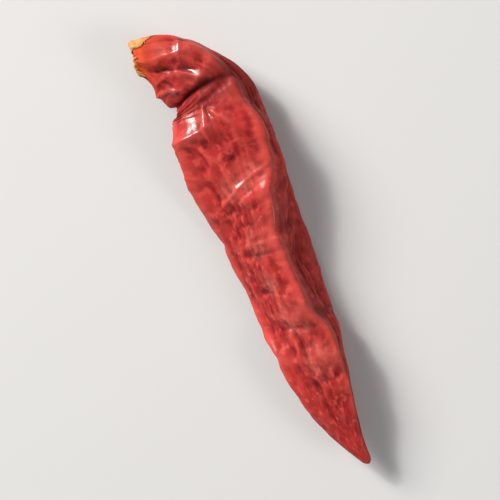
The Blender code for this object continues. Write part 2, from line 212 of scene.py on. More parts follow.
PATCH_MEAN, PATCH_WHOLE = 0.6, 1.2
RIPPLES, RIPPLE_SLANT = ((0.17, 2.4, 4, 21),), 5.0
WRINKLES, WRINKLE_HEIGHT = ((1.0, 8.0, 15, 22),), 0.24  # one stands where this crosses zero
WRINKLE_CREST, WRINKLE_SLOPE = 0.5, 2.0
FULL_SIZE = 6.5  # half size of the section at which relief has its full height
FIT_STATIONS, FIT_TURN = 81, 5.0  # how finely the section is measured before it is fitted
BELLY_STATION, BELLY_HALF_LENGTH, BELLY_NARROWNESS = 29.0, 13.0, 3.0


def hollows(station, angle, pitch, around, depth, seed, sharp):
    """Bowls side by side: the square of the way to the nearest bowl's middle, by a soft minimum."""
    rng = np.random.default_rng(seed)
    total = 0.0
    for row in range(int(POD_LENGTH / pitch) + HOLLOW_SPARE_ROWS):
        for column in range(around):
            shift = HOLLOW_JITTER * rng.uniform(-0.5, 0.5, 2)
            middle = (row - 0.5 + shift[0]) * pitch
            turn = (column + 0.5 * (row % 2) + shift[1]) * 2.0 * np.pi / around
            square = ((station - middle) / pitch) ** 2
            square = square + (wrap(angle - turn) * around / (2.0 * np.pi)) ** 2
            total = total + np.exp(-HOLLOW_STEEPNESS * square / sharp)
    bowl = -sharp * np.log(total + HOLLOW_LEAST)
    return depth * (np.clip(bowl, HOLLOW_LOWEST, HOLLOW_HIGHEST) - HOLLOW_MEAN)


def middle_line(station):
    """x, y and heading of the middle line: the heading summed up from the mouth."""
    line = np.linspace(-LINE_OVERRUN, POD_LENGTH + LINE_OVERRUN, LINE_STEPS)
    turned = sum(turn * ease((line - start) / (end - start)) for start, end, turn in TURNS)
    heading = np.radians(MOUTH_HEADING + turned)
    x = np.cumsum(np.cos(heading)) * (line[1] - line[0])
    y = np.cumsum(np.sin(heading)) * (line[1] - line[0])
    x, y = x - np.interp(0.0, line, x), y - np.interp(0.0, line, y)
    return tuple(np.interp(station, line, values) for values in (x, y, heading))


def drift(station, angle):
    """How far ridges wander round the pod (radians) and along it."""
    return layers(station, angle, WANDER_ROUND), layers(station, angle, WANDER_ALONG)


def half_sizes(station):
    """Half width, half height, and their mean over the full-size one."""
    wide = through(PROFILE, 1, station) / 2.0
    high = through(PROFILE, 2, station) / 2.0
    return wide, high, np.sqrt(wide * high) / FULL_SIZE


def outward(station, angle):
    """The direction across and up in which an ellipse of the pod's size faces."""
    wide, high, _ = half_sizes(station)
    across, up = np.cos(angle) / wide, np.sin(angle) / high
    length = np.hypot(across, up)
    return across / length, up / length


def rough_section(station, angle):
    """An ellipse mixed with a three-sided form, with the long bowls pressed in.

    Each flat side is a straight line at one reach from the middle, so a point's distance goes
    with 1 over the cosine of its angle from that side. A power sum joins the three.
    """
    wide, high, size = half_sizes(station)
    round_it, along_it = drift(station, angle)
    turn = angle + round_it - np.radians(through(RIB, 1, station))
    towards = [np.maximum(np.cos(turn - np.radians(side)), 0.0) for side in FLAT_SIDES]
    three_sided = FLAT_REACH * sum(facing**FLAT_SHARPNESS for facing in towards) ** (
        -1.0 / FLAT_SHARPNESS
    )
    reach = 1.0 + through(RIB, 2, station) * (three_sided - 1.0)
    turned = angle + round_it + TWIST_LONG * station
    pressed = size * hollows(station + along_it, turned, **LONG_HOLLOWS)
    across, up = outward(station, angle)
    return (
        wide * reach * np.cos(angle) + pressed * across,
        high * reach * np.sin(angle) + pressed * up,
    )


def section_fit():
    """Shift and stretch, station by station, from the rough section to the profile's sizes."""
    station = np.linspace(0.0, POD_LENGTH, FIT_STATIONS)
    turn = np.radians(np.arange(0.0, 360.0, FIT_TURN))
    rough = rough_section(station[:, None] + 0.0 * turn, turn + 0.0 * station[:, None])
    fit = [station]
    for values, column in zip(rough, (1, 2)):
        low, top = values.min(axis=1), values.max(axis=1)
        fit += [(low + top) / 2.0, through(PROFILE, column, station) / (top - low)]
    return fit


SECTION_FIT = section_fit()
stretch = SECTION_FIT[2]
print("section stretched by", round(stretch.min(), 2), "to", round(stretch.max(), 2))

# %% [markdown]
# ## Pleats and folds
#
# Two kinds of line are placed one by one, because they give this pod its face. Pleats run
# along it, where a ring of skin had to get shorter: most are narrow valleys, and a few are
# sharp ridges. Folds run part of the way round. The deep one pinches the pod behind its
# hooked stem end, and the others are low ridges that catch the light along its top, with
# shallow valleys between.

# %% Where the pleats and folds run
PLEATS = (  # from station, to station, angle there, angle there, depth (below 0 a ridge), width
    (-3.0, 11.0, 160.0, 74.0, 1.3, 0.9),
    (-3.0, 17.0, 14.0, 26.0, 0.9, 0.8),
    (-3.0, 8.0, 52.0, 58.0, 0.4, 0.7),
    (4.0, 9.8, 182.0, 134.0, -0.8, 0.8),
    (5.2, 12.4, 112.0, 101.0, -0.9, 0.8),
    (-3.0, 9.0, 178.0, 172.0, 0.8, 0.7),
    (-3.0, 10.0, 206.0, 214.0, 0.9, 0.8),
    (-3.0, 13.0, 258.0, 250.0, 0.8, 0.8),
    (-3.0, 19.0, 330.0, 312.0, 1.0, 0.9),
    (14.2, 20.4, 117.0, 131.0, -1.1, 0.9),
    (10.0, 62.0, 12.0, 0.0, 0.4, 1.1),
    (6.0, 52.0, 206.0, 190.0, 1.3, 1.1),
    (20.0, 84.0, 266.0, 236.0, 1.2, 1.2),
    (15.0, 58.0, 334.0, 318.0, 0.7, 1.0),
    (36.0, 86.0, 138.0, 98.0, 0.9, 0.9),
    (48.0, 88.0, 22.0, 2.0, 0.9, 0.8),
    (50.0, 88.0, 190.0, 150.0, 1.0, 0.8),
    (56.0, 89.0, 320.0, 300.0, 1.0, 0.8),
)
FOLDS = (  # station, middle angle, half reach, slant (mm/radian), height (below 0 a valley), width
    (6.1, 60.0, 30.0, 1.7, 0.55, 0.5),
    (11.0, 140.0, 96.0, -1.9, -1.9, 1.0),
    (13.8, 80.0, 52.0, 1.0, -0.95, 1.2),
    (17.8, 99.0, 16.0, -6.7, 0.5, 0.6),
    (19.6, 156.0, 42.0, 0.8, 0.9, 0.8),
    (21.6, 150.0, 50.0, 0.8, -0.25, 1.0),
    (24.7, 107.0, 8.0, 0.0, -0.35, 0.6),
    (25.4, 181.0, 14.0, -4.0, 0.40, 0.5),
    (29.9, 124.0, 72.0, 1.9, 0.50, 0.6),
    (31.6, 124.0, 66.0, 1.9, -0.30, 0.9),
    (33.6, 163.0, 20.0, 0.0, 0.35, 0.45),
    (36.2, 120.0, 50.0, -0.5, -0.30, 0.8),
    (39.4, 114.0, 60.0, -0.9, 0.55, 0.8),
    (40.9, 114.0, 60.0, -1.0, -0.45, 0.6),
    (47.8, 120.0, 50.0, -1.2, -0.35, 0.7),
    (52.2, 116.0, 62.0, -0.9, 0.60, 1.9),
    (54.5, 108.0, 54.0, -0.9, -0.50, 0.8),
    (60.2, 92.0, 72.0, -0.6, 0.50, 1.8),
    (63.8, 100.0, 60.0, 0.0, -0.35, 1.2),
)
PLEAT_WANDER, PLEAT_WANDER_PITCH = 0.14, 7.0
PLEAT_FADE, PLEAT_SHOULDER, PLEAT_SHOULDER_WIDTH = 0.25, 0.4, 2.6  # shares of its own sizes
FOLD_WANDER, FOLD_WANDER_PITCH, FOLD_WANDER_AROUND = 0.5, 5.0, 6
FOLD_SHOULDER, FOLD_SHOULDER_WIDTH = 0.35, 2.7
LINE_EDGE = 0.05  # how far the sharp line of a pleat or a fold is rounded


def pleats(station, angle, size):
    """Each valley falls off as e to the minus distance from its line, with low shoulders."""
    total = 0.0
    for start, end, angle_start, angle_end, depth, width in PLEATS:
        way = (station - start) / (end - start)
        line = np.radians(angle_start + (angle_end - angle_start) * way)
        wander = noise(station, 0.0 * station, PLEAT_WANDER_PITCH, 1, int(angle_start))
        off = wrap(angle - line - PLEAT_WANDER * wander) * size * FULL_SIZE / width
        fade = ease(way / PLEAT_FADE) * ease((1.0 - way) / PLEAT_FADE)
        shoulder = PLEAT_SHOULDER * np.exp(-((off / PLEAT_SHOULDER_WIDTH) ** 2))
        valley = np.exp(-np.sqrt(off**2 + LINE_EDGE)) - shoulder
        total = total - depth * size * fade * valley
    return total


def folds(station, angle):
    """Each fold falls off the same way from a line across, and fades towards its two ends."""
    total = 0.0
    for middle, turn, reach, slant, height, width in FOLDS:
        off_turn = wrap(angle - np.radians(turn))
        seed = int(10.0 * middle)
        wander = noise(station, angle, FOLD_WANDER_PITCH, FOLD_WANDER_AROUND, seed)
        off = (station - middle - slant * off_turn - FOLD_WANDER * wander) / width
        fade = np.clip(1.0 - (off_turn / np.radians(reach)) ** 2, 0.0, 1.0)
        shoulder = FOLD_SHOULDER * np.exp(-((off / FOLD_SHOULDER_WIDTH) ** 2))
        crest = np.exp(-np.sqrt(off**2 + LINE_EDGE)) - shoulder
        total = total + height * fade * crest
    return total


print(len(PLEATS), "pleats and", len(FOLDS), "folds")

# %% [markdown]
# ## Fine wrinkles
#
# Up close the skin is covered in finer lines that the solids leave out: crumpled cells in
# patches, hair-thin wrinkles along and across the pod, puckers where the hook squeezes its
# inner side, and gathers round the torn end. Each is about a tenth of a millimetre high, and
# all are real relief on the finer grid, so they catch the light from any side.

# %% Relief, from the largest wrinkle to the finest
BEND, SLIDE = ((0.10, 2.5, 15, 41),), ((0.7, 2.5, 15, 42),)  # how fine lines stray
CRUMPLE = dict(pitch=2.9, around=17, depth=0.13, seed=31, sharp=0.04)
CRUMPLED = ((0.55, 7.0, 7, 43),)  # where the skin is crumpled, and where it has lines along it
CRUMPLED_MEAN, CRUMPLED_WHOLE = 0.55, 1.3
FINE_LINES, FINE_HEIGHT = ((1.0, 7.0, 41, 44),), 0.075
FINE_CREST = 0.4
CROSS_LINES, CROSS_HEIGHT = ((1.0, 1.15, 6, 45),), 0.055
CROSS_SLANT, CROSS_PLACES = ((1.6, 9.0, 5, 46),), ((1.4, 6.0, 5, 47),)
CROSS_MEAN = 0.5
PUCKER_STATION, PUCKER_LENGTH, PUCKER_STEP, PUCKER_HEIGHT = 13.0, 5.0, 1.35, 0.14
GATHERS, GATHER_END, GATHER_HEIGHT = 19, 7.5, 0.08
TIP_LINES, TIP_START, TIP_END, TIP_HEIGHT = ((1.0, 20.0, 11, 48),), 50.0, 66.0, 0.16
FINE_BEND, GATHER_BEND, TIP_BEND = 0.6, 2.0, 1.5  # how much of the straying each kind follows


def wrinkled(crossing, crest):
    """A line's height: its crest where the noise crosses zero, falling off with the noise."""
    return crest - WRINKLE_SLOPE * np.abs(crossing)


def relief(station, angle):
    """How far the skin stands out from the fitted section: bowls, ripples, wrinkles, lines."""
    _, _, size = half_sizes(station)
    round_it, along_it = drift(station, angle)
    deeper = 1.0 + STEM_END_SHARE * ease((STEM_END - station) / STEM_END_FADE)
    patchy = PATCH_MEAN + layers(station, angle, PATCHES)
    turned = angle + round_it + TWIST_SMALL * station
    small = hollows(station + along_it, turned, **SMALL_HOLLOWS)
    ripple = layers(station + RIPPLE_SLANT * round_it, angle, RIPPLES)
    crossing = layers(station, angle + round_it, WRINKLES)
    wrinkle = WRINKLE_HEIGHT * wrinkled(crossing, WRINKLE_CREST)
    pressed = np.exp(-(((station - BELLY_STATION) / BELLY_HALF_LENGTH) ** 4))
    pressed = pressed * ease(-BELLY_NARROWNESS * np.sin(angle) - BELLY_NARROWNESS + 1.0)
    raised = small * deeper * patchy + ripple + wrinkle * (PATCH_WHOLE - patchy)
    raised = pleats(station, angle, size) + size * (raised + fine_relief(station, angle))
    return (1.0 - pressed) * raised + folds(station, angle)


def fine_relief(station, angle):
    """Crumpled cells, lines along and across, puckers in the hook, gathers at the torn end.

    Each kind of line has a noise of its own, which is stretched the way the line should run.
    """
    bend, slide = layers(station, angle, BEND), layers(station, angle, SLIDE)
    amount = CRUMPLED_MEAN + layers(station, angle, CRUMPLED)
    crumple = amount * hollows(station + slide, angle + bend, **CRUMPLE)
    crossing = layers(station, angle + FINE_BEND * bend, FINE_LINES)
    along = FINE_HEIGHT * (CRUMPLED_WHOLE - amount) * wrinkled(crossing, FINE_CREST)
    slant = layers(station, angle, CROSS_SLANT)
    crossing = layers(station + slide + slant, angle, CROSS_LINES)
    across = CROSS_HEIGHT * ease(CROSS_MEAN + layers(station, angle, CROSS_PLACES))
    across = across * wrinkled(crossing, FINE_CREST)
    inner = np.clip(-np.cos(angle), 0.0, 1.0) ** 2
    inner = inner * np.exp(-(((station - PUCKER_STATION) / PUCKER_LENGTH) ** 2))
    pucker = PUCKER_HEIGHT * inner * np.cos(2.0 * np.pi * (station + slide) / PUCKER_STEP)
    gather = np.cos(GATHERS * (angle + GATHER_BEND * bend)) * ease(1.0 - station / GATHER_END)
    crossing = layers(station, angle + TIP_BEND * bend, TIP_LINES)
    tip = ease((station - TIP_START) / (TIP_END - TIP_START)) * wrinkled(crossing, WRINKLE_CREST)
    return crumple + along + across + pucker + TIP_HEIGHT * tip + GATHER_HEIGHT * gather


finest = max(cells[2] for cells in FINE_LINES)
print("finest wrinkle", round(np.pi * FULL_SIZE / finest, 2), "mm wide")

# %% [markdown]
# ## From a station and an angle to a point
#
# The section is set square to the middle line and the relief is added outwards. Where the
# belly would sink through the table it is pressed flat instead, as a pod's own weight does.
# The mouth is the same surface drawn in to its middle, with a torn rim and a shallow floor.

# %% The pod's surface
MOUTH = (  # share of the way from its middle to the body, share of the section, inset
    (0.0, 0.0, 0.5),
    (0.35, 0.40, 0.48),
    (0.6, 0.64, 0.3),
    (0.8, 0.83, -0.05),
    (0.92, 0.95, 0.12),
    (1.0, 1.0, 0.6),
)
MOUTH_RINGS = 0.09  # share of the whole way that is spent in the mouth
MOUTH_RIM, MOUTH_RIM_WIDTH = 0.8, 0.25
MOUTH_RAGGED = ((0.3, 9.0, 9, 71),)  # height, pitch, count round, seed
MOUTH_TORN = ((0.16, 9.0, 31, 74),)


def skin(station, angle, share, inset):
    """Middle line plus the section's two sides; share draws it in, inset moves it along."""
    across, up = rough_section(station, angle)
    fit = [np.interp(station, SECTION_FIT[0], values) for values in SECTION_FIT[1:]]
    across_middle, across_stretch, up_middle, up_stretch = fit
    across = (across - across_middle) * across_stretch
    up = (up - up_middle) * up_stretch
    out_across, out_up = outward(station, angle)
    raised = relief(station, angle)
    across = share * (across + raised * out_across)
    up = share * (up + raised * out_up)
    x, y, heading = middle_line(station + inset)
    heading = heading + np.radians(MOUTH_SLANT) * (1.0 - ease(station / MOUTH_SLANT_END))
    _, high, _ = half_sizes(station)
    z = through(PROFILE, 3, station) + high + up
    return np.stack(
        [x - np.sin(heading) * across, y + np.cos(heading) * across, np.maximum(z, 0.0)], axis=-1
    )


def station_of(way):
    """The station at a share of the way from the middle of the mouth to the tip."""
    return POD_LENGTH * np.clip((way - MOUTH_RINGS) / (1.0 - MOUTH_RINGS), 0.0, 1.0)


def pod_points(way, angle):
    """The pod's skin, with `way` from 0 in the middle of the mouth to 1 at the tip."""
    mouth = np.clip(way / MOUTH_RINGS, 0.0, 1.0)
    station = station_of(way)
    to_tip = np.clip((station - POD_LENGTH + TIP_ROUND) / TIP_ROUND, 0.0, 1.0)
    share = through(MOUTH, 1, mouth) * np.sqrt(1.0 - to_tip**2)
    edge = np.exp(-(((mouth - MOUTH_RIM) / MOUTH_RIM_WIDTH) ** 2)) * (mouth < 1.0)
    inset = through(MOUTH, 2, mouth) - MOUTH[-1][2] * ease(way / MOUTH_RINGS - 1.0)
    inset = inset + edge * layers(0.0 * station, angle, MOUTH_RAGGED + MOUTH_TORN)
    return skin(station, angle, share, inset)


print("mouth to the body in", MOUTH_RINGS, "of the way")

# %% [markdown]
# ## Turning a surface into a mesh
#
# The grid has one row of points for each step along and one column for each step round, and
# closes on a single point at each end. Faces, texture coordinates and named attributes are
# whole arrays. Three attributes steer the finish: `crease` says how far a point lies below
# the skin round it, `crest` how far above, and `fine` how far it stands in or out in the
# finest wrinkles, with a half for level. They are found by smoothing the points over the grid
# and measuring how far each one stands off its smoothed self.

# %% Grid, faces and attributes
NORMAL_SMOOTHING = 2  # passes before the surface's direction is taken


def closed_grid(rings, segments):
    """Way and angle of every point: the first pole, the rows between, and the last pole."""
    rows = np.arange(1, rings) / rings
    turns = np.arange(segments) / segments * 2.0 * np.pi
    way = np.concatenate([[0.0], np.repeat(rows, segments), [1.0]])
    angle = np.concatenate([[0.0], np.tile(turns, rings - 1), [0.0]])
    return way, angle


def grid_faces(rings, segments):
    """Quads between the rows, and a fan of triangles at each of the two poles."""
    column = np.arange(segments)
    after = (column + 1) % segments
    last = 1 + (rings - 1) * segments
    row = 1 + segments * np.arange(rings - 2)[:, None]
    quads = np.stack(
        [row + column, row + after, row + segments + after, row + segments + column], axis=-1
    ).reshape(-1, 4)
    fans = [
        np.stack([0 * column, 1 + after, 1 + column], axis=-1),
        np.stack([last + 0 * column, last - segments + column, last - segments + after], axis=-1),
    ]
    return quads, fans


def smoothed(values, rings, segments, along, around):
    """The rows between the poles, averaged with their neighbours again and again."""
    grid = values[1:-1].reshape(rings - 1, segments, -1)
    for step in range(max(along, around)):
        if step < around:
            grid = (np.roll(grid, 1, axis=1) + 2.0 * grid + np.roll(grid, -1, axis=1)) / 4.0
        if step < along:
            padded = np.concatenate([grid[:1], grid, grid[-1:]])
            grid = (padded[:-2] + 2.0 * grid + padded[2:]) / 4.0
    return grid


def standing_out(points, rings, segments, along, around):
    """How far each point stands off its smoothed self, along the surface's own direction."""
    mean = smoothed(points, rings, segments, along, around)
    near_by = smoothed(points, rings, segments, NORMAL_SMOOTHING, NORMAL_SMOOTHING)
    round_it = np.roll(near_by, -1, axis=1) - np.roll(near_by, 1, axis=1)
    normal = unit(np.cross(round_it, np.gradient(near_by, axis=0)))
    off = np.sum((points[1:-1].reshape(mean.shape) - mean) * normal, axis=-1).ravel()
    return np.concatenate([off[:1], off, off[-1:]])


def surface_mesh(name, points, rings, segments, attributes):
    """A mesh of the points in metres, with texture coordinates and named attributes."""
    quads, (first, last) = grid_faces(rings, segments)
    faces = first.tolist() + quads.tolist() + last.tolist()
    mesh = bpy.data.meshes.new(name)
    mesh.from_pydata((points * MM).tolist(), [], faces)
    column = np.arange(segments) / segments
    step = 1.0 / segments
    edge = np.arange(1, rings) / rings
    low = np.repeat(edge[:-1], segments)
    left = np.tile(column, rings - 2)
    fan = np.stack([column + step / 2.0, column + step, column], axis=-1)
    first_uv = np.stack([fan, np.broadcast_to([0.0, edge[0], edge[0]], fan.shape)], axis=-1)
    quad_uv = np.stack(
        [
            np.stack([left, left + step, left + step, left], axis=-1),
            np.stack([low, low, low + 1.0 / rings, low + 1.0 / rings], axis=-1),
        ],
        axis=-1,
    )
    fan = np.stack([column + step / 2.0, column, column + step], axis=-1)
    last_uv = np.stack([fan, np.broadcast_to([1.0, edge[-1], edge[-1]], fan.shape)], axis=-1)
    uv = np.concatenate([first_uv.ravel(), quad_uv.ravel(), last_uv.ravel()])
    mesh.uv_layers.new(name="around_and_along").data.foreach_set("uv", uv.astype(np.float32))
    for label, values in attributes.items():
        kind, field = ("FLOAT_VECTOR", "vector") if values.ndim == 2 else ("FLOAT", "value")
        made = mesh.attributes.new(label, kind, "POINT")
        made.data.foreach_set(field, values.astype(np.float32).ravel())
    mesh.shade_smooth()
    return mesh


def add_piece(mesh, node):
    """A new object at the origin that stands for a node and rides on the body."""
    piece = bpy.data.objects.new(mesh.name, mesh)
    bpy.context.scene.collection.objects.link(piece)
    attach(piece, "root")
    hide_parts(node)


print("a grid of 4 by 3 has", len(closed_grid(4, 3)[0]), "points")

# %% [markdown]
# ## The pod
#
# The fine grid keeps under 200,000 triangles. The finish reads each point's place as it would
# be if the pod were pulled straight: its station, and its way across and up on an even tube.
# A pattern on that tube follows the bend and has no seam.

# %% Make the pod
POD_RINGS, POD_SEGMENTS = 440, 224
TUBE_RADIUS = 6.0


def on_tube(station, angle):
    """A point's place on the straight tube that stands for the pod."""
    return np.stack([station, TUBE_RADIUS * np.cos(angle), TUBE_RADIUS * np.sin(angle)], axis=-1)


way, angle = closed_grid(POD_RINGS, POD_SEGMENTS)
station = station_of(way)
pod_at = pod_points(way, angle)
print("pod of", len(pod_at), "points")

# %% [markdown]
# ## The calyx remnant
#
# When a stalk is pulled off, the calyx tears. What stays is a pad of straw-coloured fibre in
# the mouth, the broken ring of the stalk on it, one long tooth bent back over the shoulder
# and a few scraps. It is a thin sheet that follows the pod's own surface, so it is worked
# out from that surface: each point goes to the pod's point below it, plus a lift along the
# way the pod faces there.

# %% The remnant's outline and sheet
CALYX_GAP, CALYX_THICKNESS = 0.08, 0.34  # closer and thinner than the plain solid
CALYX_SCAR = 0.068  # its reach, and the other reaches, are shares of the pod's whole way
CALYX_TEETH = (  # angle, half width, reach past the scar
    (32.0, 36.0, 0.052),
    (100.0, 30.0, 0.010),
    (160.0, 24.0, 0.018),
    (222.0, 40.0, 0.012),
    (296.0, 30.0, 0.020),
)
CALYX_TOOTH_STEEPNESS = 1.25
CALYX_RAGGED, CALYX_FRAYED = ((0.011, 9.0, 23, 72),), ((0.008, 9.0, 71, 75),)
STALK_RING, STALK_RING_WIDTH, STALK_RING_HEIGHT = 0.024, 0.012, 0.45
STALK_RING_BROKEN = ((0.6, 9.0, 11, 73),)
FIBRE_HEIGHT, FIBRES = 0.07, (4.0, 61, 76)  # its height; pitch, count round and seed
FIBRE_START = 4.0  # fibres have their full height from a quarter of the way out
CALYX_RINGS, CALYX_SEGMENTS = 90, 240
NORMAL_STEP = 0.002  # how far off the surface is looked at to find the way it faces


def calyx_edge(angle):
    """The scar's reach, plus a smooth bump for each tooth, plus coarse and fine noise."""
    edge = CALYX_SCAR + 0.0 * angle
    for middle, half_width, reach in CALYX_TEETH:
        off = np.abs(wrap(angle - np.radians(middle))) / np.radians(half_width)
        edge = edge + reach * ease(CALYX_TOOTH_STEEPNESS * (1.0 - off))
    return edge + layers(0.0 * angle, angle, CALYX_RAGGED + CALYX_FRAYED)


def way_from_pole(way):
    """0 in the middle of either face of the sheet, and 1 at its edge."""
    return np.where(way < 0.5, 2.0 * way, 2.0 - 2.0 * way)


def calyx_points(way, angle):
    """The pod's surface plus a lift: its outer face for way < 0.5, its inner face beyond."""
    from_pole = way_from_pole(way)
    out = calyx_edge(angle) * from_pole
    point = pod_points(out, angle)
    along = pod_points(out + NORMAL_STEP, angle) - point
    off_pole = np.maximum(out, NORMAL_STEP)
    turned = pod_points(off_pole, angle + NORMAL_STEP) - pod_points(off_pole, angle)
    normal = unit(np.cross(turned, along))
    thick = CALYX_THICKNESS * np.sqrt(1.0 - from_pole**4)
    broken = 1.0 + layers(0.0 * angle, angle, STALK_RING_BROKEN)
    ring = STALK_RING_HEIGHT * broken * np.exp(-(((out - STALK_RING) / STALK_RING_WIDTH) ** 2))
    fibre = FIBRE_HEIGHT * noise(POD_LENGTH * out, angle, *FIBRES)
    fibre = fibre * ease(FIBRE_START * from_pole)
    lift = CALYX_GAP + np.where(way < 0.5, thick + ring + fibre, 0.0)
    return point + normal * lift[:, None]


calyx_way, calyx_angle = closed_grid(CALYX_RINGS, CALYX_SEGMENTS)
calyx_at = calyx_points(calyx_way, calyx_angle)
print("calyx remnant of", len(calyx_at), "points")

# %% [markdown]
# ## Both pieces in their places
#
# The solids' box says where the middle of the pod goes. Both pieces move by the same amount,
# and each then takes its node's place on the one body that the model has.

# %% Put both pieces where the solids are
CREASE_DEPTH, FINE_DEPTH = 0.16, 0.08  # a whole crease, and a fine wrinkle from top to bottom
CREASE_SMOOTHING, FINE_SMOOTHING = (38, 34), (8, 7)  # passes along and round

low, top = (np.array(corner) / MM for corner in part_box("pod"))
shift = np.array([(low[0] + top[0]) / 2.0, (low[1] + top[1]) / 2.0, 0.0])
middle = (pod_at.min(axis=0) + pod_at.max(axis=0)) / 2.0
shift[:2] -= middle[:2]
pod_at, calyx_at = pod_at + shift, calyx_at + shift

pod_off = standing_out(pod_at, POD_RINGS, POD_SEGMENTS, *CREASE_SMOOTHING)
fine_off = standing_out(pod_at, POD_RINGS, POD_SEGMENTS, *FINE_SMOOTHING)
pod_attributes = {
    "straight": on_tube(station, angle),
    "station": station,
    "crease": np.clip(-pod_off / CREASE_DEPTH, 0.0, 1.0),
    "crest": np.clip(pod_off / CREASE_DEPTH, 0.0, 1.0),
    "fine": np.clip(0.5 + fine_off / FINE_DEPTH, 0.0, 1.0),
}
pod_mesh = surface_mesh("pod_skin", pod_at, POD_RINGS, POD_SEGMENTS, pod_attributes)
add_piece(pod_mesh, "pod")

from_pole = way_from_pole(calyx_way)
reach = calyx_edge(calyx_angle) * from_pole * POD_LENGTH
calyx_attributes = {"straight": on_tube(reach, calyx_angle), "edge": from_pole}
calyx_mesh = surface_mesh("calyx_sheet", calyx_at, CALYX_RINGS, CALYX_SEGMENTS, calyx_attributes)
add_piece(calyx_mesh, "calyx_remnant")
print("pod", len(pod_mesh.polygons), "faces, calyx", len(calyx_mesh.polygons), "faces")
print("moved by", shift.round(3), "mm")

# %% [markdown]
# ## Shader building blocks
#
# Both finishes are made of the same two effects at different strengths: soft patches, and
# fibres that run the long way. Each is a node group, built once. The groups put out masks
# and heights only, and the shaders stay in the materials. A mask is read over a named range:
# the value it starts at, the value it ends at, and what it gives at either.

# %% Node helpers and the two shared groups
CLOUD_DETAIL, CLOUD_MASK = 4.0, (0.45, 0.65)
FIBRE_DETAIL, FIBRE_DISTORTION = 3.0, 0.6
FIBRE_MIDDLE, FIBRE_LINE = 0.5, (0.0, 0.05, 1.0, 0.0)  # a line lies where the noise is halfway
SPOT_CORE = 0.35  # share of a spot's reach that has its whole strength


def add_node(tree, kind, inputs=None, **settings):
    """A node with its settings; each input is given a plain value, or a socket to join to it."""
    made = tree.nodes.new(kind)
    for name, value in settings.items():
        setattr(made, name, value)
    for name, value in (inputs or {}).items():
        if isinstance(value, bpy.types.NodeSocket):
            tree.links.new(value, made.inputs[name])
        else:
            made.inputs[name].default_value = value
    return made


def set_inputs(node, values):
    """Gives inputs their plain values."""
    for name, value in values.items():
        node.inputs[name].default_value = value


def attribute(tree, name, output="Fac"):
    """What a named attribute of the mesh says at each point."""
    return add_node(tree, "ShaderNodeAttribute", attribute_name=name).outputs[output]


def math(tree, operation, first, *others):
    """The values joined by one operation, such as ADD or MULTIPLY, from first to last."""
    for other in others:
        made = add_node(tree, "ShaderNodeMath", {0: first, 1: other}, operation=operation)
        first = made.outputs[0]
    return first


def absolute(tree, value):
    """The value without its sign."""
    return add_node(tree, "ShaderNodeMath", {0: value}, operation="ABSOLUTE").outputs[0]


def between(tree, value, low, high, to_low=0.0, to_high=1.0):
    """The value from low to high, taken smoothly to the range from to_low to to_high."""
    inputs = dict(enumerate((value, low, high, to_low, to_high)))
    return add_node(tree, "ShaderNodeMapRange", inputs, interpolation_type="SMOOTHSTEP").outputs[0]


def mix(tree, share, first, second):
    """Two colours mixed by a share: inputs 0, 6 and 7 are the share and the two colours."""
    inputs = {0: share, 6: first, 7: second}
    return add_node(tree, "ShaderNodeMix", inputs, data_type="RGBA").outputs[2]


def near(tree, place, spots):
    """1 at each spot of the straight tube, falling smoothly to 0 at the spot's reach."""
    most = 0.0
    for station, angle, reach in spots:
        middle = tuple(on_tube(station, np.radians(angle)))
        away = add_node(tree, "ShaderNodeVectorMath", {0: place, 1: middle}, operation="DISTANCE")
        close = between(tree, away.outputs["Value"], SPOT_CORE * reach, reach, 1.0, 0.0)
        most = math(tree, "MAXIMUM", close, most)
    return most


def new_group(name, numbers, outputs):
    """An empty group with its sockets, and the nodes that stand for them inside it."""
    group = bpy.data.node_groups.new(name, "ShaderNodeTree")
    group.interface.new_socket("Vector", in_out="INPUT", socket_type="NodeSocketVector")
    for label in numbers:
        group.interface.new_socket(label, in_out="INPUT", socket_type="NodeSocketFloat")
    for label in outputs:
        group.interface.new_socket(label, in_out="OUTPUT", socket_type="NodeSocketFloat")
    return group, group.nodes.new("NodeGroupInput"), group.nodes.new("NodeGroupOutput")


def patches_group():
    """Cloudy patches: noise of a few octaves, and a mask of where it is high."""
    group, start, end = new_group("soft_patches", ["Fineness"], ["Cloud", "Mask"])
    inputs = {"Vector": start.outputs["Vector"], "Scale": start.outputs["Fineness"]}
    cloud = add_node(group, "ShaderNodeTexNoise", {**inputs, "Detail": CLOUD_DETAIL}).outputs[0]
    group.links.new(cloud, end.inputs["Cloud"])
    group.links.new(between(group, cloud, *CLOUD_MASK), end.inputs["Mask"])
    return group


def fibres_group():
    """Fibres along the first axis: noise on coordinates that are squeezed along it."""
    group, start, end = new_group("long_fibres", ["Fineness", "Length"], ["Fibre", "Line"])
    squeeze = math(group, "DIVIDE", 1.0, start.outputs["Length"])
    scale = add_node(group, "ShaderNodeCombineXYZ", {0: squeeze, 1: 1.0, 2: 1.0}).outputs[0]
    inputs = {0: start.outputs["Vector"], 1: scale}
    drawn = add_node(group, "ShaderNodeVectorMath", inputs, operation="MULTIPLY").outputs[0]
    inputs = {"Vector": drawn, "Scale": start.outputs["Fineness"], "Detail": FIBRE_DETAIL}
    inputs["Distortion"] = FIBRE_DISTORTION
    fibre = add_node(group, "ShaderNodeTexNoise", inputs).outputs[0]
    off_middle = absolute(group, math(group, "SUBTRACT", fibre, FIBRE_MIDDLE))
    group.links.new(fibre, end.inputs["Fibre"])
    group.links.new(between(group, off_middle, *FIBRE_LINE), end.inputs["Line"])
    return group


SOFT_PATCHES, LONG_FIBRES = patches_group(), fibres_group()


def use_group(tree, group, place, *numbers):
    """The outputs of a shared group, read at a place with the group's own numbers."""
    inputs = dict(enumerate((place, *numbers)))
    return add_node(tree, "ShaderNodeGroup", inputs, node_tree=group).outputs


